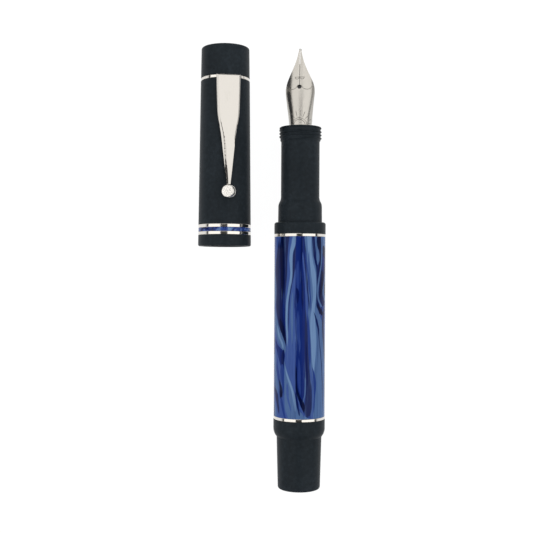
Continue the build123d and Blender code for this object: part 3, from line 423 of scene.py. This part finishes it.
def acrylic_material(name, streaks):
    """Poured, streaked acrylic: noise streaks all round, with the given ones on the top half."""
    kit = Kit(name)
    fine = kit.noise(kit.x, kit.y * 0.045, kit.z, scale=1700, detail=4, roughness=0.62)
    slow = kit.noise(kit.x, kit.y * 0.22, kit.z, scale=260, detail=2)
    swirl = kit.noise(kit.x, kit.y * 0.16, kit.z, scale=330, detail=3, roughness=0.55, distortion=1.4)
    scuff = kit.noise(kit.x, kit.y, kit.z, scale=420, detail=4, roughness=0.6)
    ripple = kit.noise(kit.x, kit.y * 0.3, kit.z, scale=700, detail=2)
    colour = kit.ramp(swirl, (
        (0.30, NEAR_BLACK), (0.40, DEEP), (0.46, INDIGO), (0.50, ROYAL),
        (0.56, PERIWINKLE), (0.66, LIGHT_STEEL)))
    across = (kit.x - PEN_X) / BARREL_RADIUS + (slow - 0.5) * 0.03 + (fine - 0.5) * 0.05
    along = (SLEEVE_HIGH.y - kit.y) / SLEEVE_LENGTH + (slow - 0.5) * 0.02
    height = (kit.z - PEN_Z) / BARREL_RADIUS + (swirl - 0.5) * 1.2 + (fine - 0.5) * 0.5
    top = kit.step(height, *TOP_BLUR)
    for tint, rows in streaks:
        colour = kit.mix(streak_mask(kit, across, along, rows) * top, colour, tint)
    colour = kit.mix(kit.step(fine, 0.53, 0.74) * 0.22, colour, LIGHT_STEEL)
    colour = kit.mix(kit.step(fine, 0.48, 0.26) * 0.34, colour, NAVY)
    kit.bump(ripple, distance=0.01 * MM, strength=0.25)
    return kit.finish(colour, 0.07 + scuff * 0.06, IOR=ACRYLIC_IOR, Specular_IOR_Level=0.05)


def inlay_material(name):
    """The same acrylic as a thin band set in the cap."""
    kit = Kit(name)
    swirl = kit.noise(kit.x, kit.y * 0.8, kit.z, scale=520, detail=3, roughness=0.6, distortion=1.2)
    fine = kit.noise(kit.x, kit.y, kit.z, scale=1800, detail=3, roughness=0.6)
    colour = kit.ramp(swirl, (
        (0.30, NEAR_BLACK), (0.42, NAVY), (0.50, ROYAL), (0.58, PERIWINKLE), (0.68, LIGHT_STEEL)))
    colour = kit.mix(kit.step(fine, 0.5, 0.75) * 0.4, colour, STEEL)
    return kit.finish(colour, 0.09 + fine * 0.06, IOR=ACRYLIC_IOR, Specular_IOR_Level=0.15)


# ---------------------------------------------------------------- resin and moulded plastic

RESIN_DARK = srgb(28, 33, 37)
RESIN = srgb(35, 41, 46)
RESIN_PALE = srgb(43, 50, 56)


def resin_material(name):
    """Matt turned black resin, with faint turning marks, mottling and handling shine."""
    kit = Kit(name)
    mottle = kit.noise(kit.x, kit.y, kit.z, scale=900, detail=4, roughness=0.65)
    broad = kit.noise(kit.x, kit.y * 0.5, kit.z, scale=120, detail=3, roughness=0.55)
    turning = kit.noise(kit.y, 0.0, 0.0, scale=5200, detail=2)
    colour = kit.ramp(mottle * 0.6 + broad * 0.4, ((0.30, RESIN_DARK), (0.52, RESIN), (0.70, RESIN_PALE)))
    kit.bump(mottle * 0.7 + turning * 0.3, distance=0.04 * MM, strength=0.35)
    rough = 0.40 + (mottle - 0.5) * 0.18 + (broad - 0.5) * 0.12
    return kit.finish(colour, rough, IOR=1.52, Specular_IOR_Level=0.04)


def plastic_material(name, low, high, rough, scale=900):
    """Moulded plastic or rubber with faint flow marks and specks."""
    kit = Kit(name)
    flow = kit.noise(kit.x, kit.y * 0.3, kit.z, scale=scale * 0.3, detail=3, roughness=0.6)
    speck = kit.noise(kit.x, kit.y, kit.z, scale=scale * 2, detail=3, roughness=0.6)
    colour = kit.ramp(flow * 0.6 + speck * 0.4, ((0.3, low), (0.7, high)))
    kit.bump(speck, distance=0.02 * MM, strength=0.3)
    return kit.finish(colour, rough + (speck - 0.5) * 0.15)


def clear_material(name):
    """Clear moulded plastic with a faint haze."""
    kit = Kit(name)
    haze = kit.noise(kit.x, kit.y * 0.2, kit.z, scale=500, detail=3, roughness=0.6)
    colour = kit.ramp(haze, ((0.3, srgb(225, 232, 236)), (0.7, srgb(244, 248, 250))))
    kit.bump(haze, distance=0.01 * MM, strength=0.2)
    return kit.finish(colour, 0.05 + haze * 0.06, Transmission_Weight=1.0, IOR=ACRYLIC_IOR)


# ---------------------------------------------------------------- metals

RING_STEEL = (0.70, 0.67, 0.625, 1.0)
RING_STEEL_DARK = (0.50, 0.47, 0.43, 1.0)
CLIP_STEEL = (0.545, 0.522, 0.487, 1.0)
CLIP_STEEL_DARK = (0.44, 0.42, 0.385, 1.0)
NIB_STEEL = (0.46, 0.44, 0.405, 1.0)
NIB_STEEL_DARK = (0.33, 0.315, 0.29, 1.0)
BALL_STEEL = (0.72, 0.695, 0.66, 1.0)
BALL_STEEL_DARK = (0.40, 0.385, 0.36, 1.0)
ENGRAVED = srgb(60, 55, 50)


def metal_material(name, base, dark, rough, hair_along_pen):
    """Polished plating with a slightly uneven shine and hairline scratches."""
    kit = Kit(name)
    cloud = kit.noise(kit.x, kit.y, kit.z, scale=260, detail=4, roughness=0.6)
    along, around = (0.06, 1.0) if hair_along_pen else (1.0, 0.06)
    hair = kit.noise(kit.x * around, kit.y * along, kit.z * around, scale=3600, detail=2, roughness=0.6)
    wear = kit.step(hair, 0.60, 0.78) * 0.35 + kit.step(cloud, 0.55, 0.75) * 0.2
    kit.bump(hair, distance=0.006 * MM, strength=0.30)
    return kit.finish(kit.mix(wear, base, dark), rough + (cloud - 0.45) * 0.10 + hair * 0.03, Metallic=1.0)


def ball_material(name):
    """Polished plating with small hammered dimples."""
    kit = Kit(name)
    dimple = kit.noise(kit.x, kit.y, kit.z, scale=2600, detail=3, roughness=0.6)
    cloud = kit.noise(kit.x, kit.y, kit.z, scale=700, detail=3, roughness=0.6)
    colour = kit.mix(kit.step(dimple, 0.48, 0.62) * 0.55, BALL_STEEL, BALL_STEEL_DARK)
    kit.bump(dimple, distance=0.03 * MM, strength=0.5)
    return kit.finish(colour, 0.10 + cloud * 0.08, Metallic=1.0)


# The nib's engraving, in mm: places are measured back from its point and out from its middle.
LINE_HALF_WIDTH = 0.10
SUN_BACK = 23.0
SUN_RINGS = (1.75, 2.25)
RAYS_IN_TURN = 20.0
RAY_EDGE = (0.86, 0.98)
RAY_START = (2.6, 2.75)
RAY_END = (4.5, 4.2)
SCALLOP_BACK = 10.7
SCALLOP_SIDE = 2.1
SCALLOP_RADIUS = 1.6
BAR_BACK = 8.7
BAR_END = (1.5, 1.35)
CUSP_SIDE = 0.75
CUSP_RADIUS = 0.6
MARKED_HEIGHT = (1.4, 1.9)  # over the pen's axis; only the nib's top is engraved


def engraving(kit):
    """1 on the engraved lines: a plain rising sun with rays, two scallops and a cusped bar."""
    across = ((kit.x - PEN_X) * math.cos(NIB_ROLL) + (kit.z - PEN_Z) * math.sin(NIB_ROLL)) / MM
    back = (NIB_POINT - kit.y) / MM
    side = abs(across)

    def line(distance):
        return kit.step(abs(distance), LINE_HALF_WIDTH, LINE_HALF_WIDTH * 0.4)

    def reach(x, y):
        return kit.math("SQRT", x * x + y * y)

    sun_radius = reach(across, SUN_BACK - back)
    ray_phase = kit.math("SINE", kit.math("ARCTAN2", across, SUN_BACK - back) * RAYS_IN_TURN)
    scallop = line(reach(side - SCALLOP_SIDE, back - SCALLOP_BACK) - SCALLOP_RADIUS)
    cusp = line(reach(side - CUSP_SIDE, back - BAR_BACK) - CUSP_RADIUS)
    lines = [line(sun_radius - ring) for ring in SUN_RINGS]
    rays = kit.step(ray_phase, *RAY_EDGE) * kit.step(sun_radius, *RAY_START) * kit.step(sun_radius, *RAY_END)
    lines.append(rays)
    lines.append(scallop * kit.step(back, SCALLOP_BACK + 0.3, SCALLOP_BACK + 0.6))
    lines.append(line(back - BAR_BACK) * kit.step(side, *BAR_END))
    lines.append(cusp * kit.step(back, BAR_BACK, BAR_BACK + 0.1))
    marks = lines[0]
    for other in lines[1:]:
        marks = kit.math("MAXIMUM", marks, other)
    return marks * kit.step(kit.z, *(PEN_Z + height * MM for height in MARKED_HEIGHT))


def nib_material(name):
    """Engraved satin-polished steel."""
    kit = Kit(name)
    marks = engraving(kit)
    hair = kit.noise(kit.x, kit.y * 0.06, kit.z, scale=4200, detail=2, roughness=0.6)
    cloud = kit.noise(kit.x, kit.y, kit.z, scale=320, detail=4, roughness=0.6)
    colour = kit.mix(kit.step(hair, 0.58, 0.8) * 0.2, NIB_STEEL, NIB_STEEL_DARK)
    colour = kit.mix(marks * 0.7, colour, ENGRAVED)
    kit.bump(hair * 0.04 - marks, distance=0.02 * MM, strength=0.5)
    return kit.finish(colour, 0.25 + (cloud - 0.45) * 0.10 + marks * 0.2, Metallic=1.0)


# ---------------------------------------------------------------- what each piece is made of

FINISHES = {
    "black_resin": resin_material("black_resin_pen"),
    "marbled_acrylic": acrylic_material("marbled_acrylic_sleeve", STREAKS),
    "trim_metal": metal_material("polished_rings", RING_STEEL, RING_STEEL_DARK, 0.09, hair_along_pen=False),
    "nib_steel": nib_material("engraved_steel"),
    "feed_plastic": plastic_material("moulded_black", srgb(22, 23, 26), srgb(38, 40, 44), 0.42),
    "seal_rubber": plastic_material("rubber", srgb(18, 18, 19), srgb(34, 34, 36), 0.75, scale=1400),
    "clear_plastic": clear_material("clear_tube"),
    "converter_plastic": plastic_material("converter_black", srgb(24, 25, 29), srgb(40, 42, 48), 0.28),
}
OWN_FINISHES = {
    "cap_inlay_band": inlay_material("marbled_acrylic_inlay"),
    "clip_strip": metal_material("polished_clip", CLIP_STEEL, CLIP_STEEL_DARK, 0.03, hair_along_pen=True),
    "clip_ball": ball_material("hammered_ball"),
}
for subpart in frame["record"]["subparts"]:
    node = subpart["node"]
    for slot in frame["nodes"][node].material_slots:
        slot.material = OWN_FINISHES.get(node, FINISHES[subpart["material_slot"]])


# ---------------------------------------------------------------- floor, lights, camera

FLOOR_REACH = 12.0
FLOOR_GAP = 0.05 * MM
FLOOR_GLOW = 0.96
SOFTBOX_DISTANCE = 0.55
SOFTBOX_COLOUR = (1.0, 0.99, 0.975)
GLOW_EDGE = (3, 12)  # the world fades between these angles over the horizon
GLOW_STRENGTH = 0.9
SKY_STRENGTH = 0.05
CAMERA_PLACE = (1.4 * MM, 0.47 * MM, PEN_Z + 267 * MM)
CAMERA_TURN = 0.28
LENS_LENGTH = 60.8
SENSOR_WIDTH = 36.0
WHITE = (1.0, 1.0, 1.0, 1.0)


def white_floor():
    """Pale floor just under the pen, wide enough to reach the horizon in low views."""
    kit = Kit("white_floor")
    tone = kit.noise(kit.x, kit.y, kit.z, scale=6, detail=2)
    colour = kit.ramp(tone, ((0.2, (0.08, 0.085, 0.09, 1)), (0.8, (0.12, 0.125, 0.13, 1))))
    kit.finish(colour, 0.9, Emission_Strength=FLOOR_GLOW, Emission_Color=WHITE, Specular_IOR_Level=0.0)
    mesh = bpy.data.meshes.new("floor")
    corners = [(-1, -1), (1, -1), (1, 1), (-1, 1)]
    mesh.from_pydata([(x * FLOOR_REACH, y * FLOOR_REACH, 0) for x, y in corners], [], [(0, 1, 2, 3)])
    mesh.materials.append(kit.material)
    floor = bpy.data.objects.new("floor", mesh)
    floor.location.z = cad_box[0][2] - FLOOR_GAP
    bpy.context.scene.collection.objects.link(floor)
    return floor


def softbox(name, tilt_x, tilt_y, half_x, half_y, radiance):
    """Rectangular light aimed at the origin; tilts and half widths are angles seen from there."""
    light = bpy.data.lights.new(name, "AREA")
    light.shape = "RECTANGLE"
    light.size = 2 * SOFTBOX_DISTANCE * math.tan(math.radians(half_x))
    light.size_y = 2 * SOFTBOX_DISTANCE * math.tan(math.radians(half_y))
    light.energy = radiance * math.pi * light.size * light.size_y
    light.color = SOFTBOX_COLOUR
    lamp = bpy.data.objects.new(name, light)
    lamp.visible_camera = False
    lamp.rotation_euler = (math.radians(-tilt_y), math.radians(tilt_x), 0)
    lamp.location = lamp.rotation_euler.to_matrix() @ Vector((0, 0, SOFTBOX_DISTANCE))
    bpy.context.scene.collection.objects.link(lamp)


def dim_studio():
    """World that is bright at the horizon and nearly dark above it, for dark gaps in the metal."""
    world = bpy.data.worlds.new("studio")
    world.use_nodes = True
    nodes = world.node_tree.nodes
    links = world.node_tree.links
    direction = nodes.new("ShaderNodeTexCoord")
    split = nodes.new("ShaderNodeSeparateXYZ")
    glow = nodes.new("ShaderNodeMapRange")
    glow.interpolation_type = "SMOOTHSTEP"
    glow.inputs["From Min"].default_value = math.sin(math.radians(GLOW_EDGE[0]))
    glow.inputs["From Max"].default_value = math.sin(math.radians(GLOW_EDGE[1]))
    glow.inputs["To Min"].default_value = GLOW_STRENGTH
    glow.inputs["To Max"].default_value = SKY_STRENGTH
    links.new(direction.outputs["Generated"], split.inputs[0])
    links.new(split.outputs["Z"], glow.inputs["Value"])
    links.new(glow.outputs["Result"], nodes["Background"].inputs["Strength"])
    nodes["Background"].inputs["Color"].default_value = WHITE
    return world


def overhead_camera():
    """Camera that looks straight down, turned a little, in a flat lay."""
    data = bpy.data.cameras.new("camera")
    data.lens = LENS_LENGTH
    data.sensor_width = SENSOR_WIDTH
    data.clip_start = 0.01
    camera = bpy.data.objects.new("camera", data)
    camera.location = CAMERA_PLACE
    camera.rotation_euler = (0, 0, math.radians(CAMERA_TURN))
    bpy.context.scene.collection.objects.link(camera)
    return camera


softbox("left_softbox", tilt_x=-43.5, tilt_y=0, half_x=27.5, half_y=45, radiance=1.4)
softbox("right_softbox", tilt_x=40.5, tilt_y=0, half_x=29.5, half_y=45, radiance=1.45)
softbox("front_softbox", tilt_x=-2.5, tilt_y=37.5, half_x=13, half_y=21.9, radiance=1.25)
softbox("low_front_softbox", tilt_x=-2.5, tilt_y=10.7, half_x=13, half_y=1.3, radiance=3.0)
white_floor()
bpy.context.scene.world = dim_studio()
bpy.context.scene.camera = overhead_camera()
bpy.context.scene.view_settings.view_transform = "Standard"
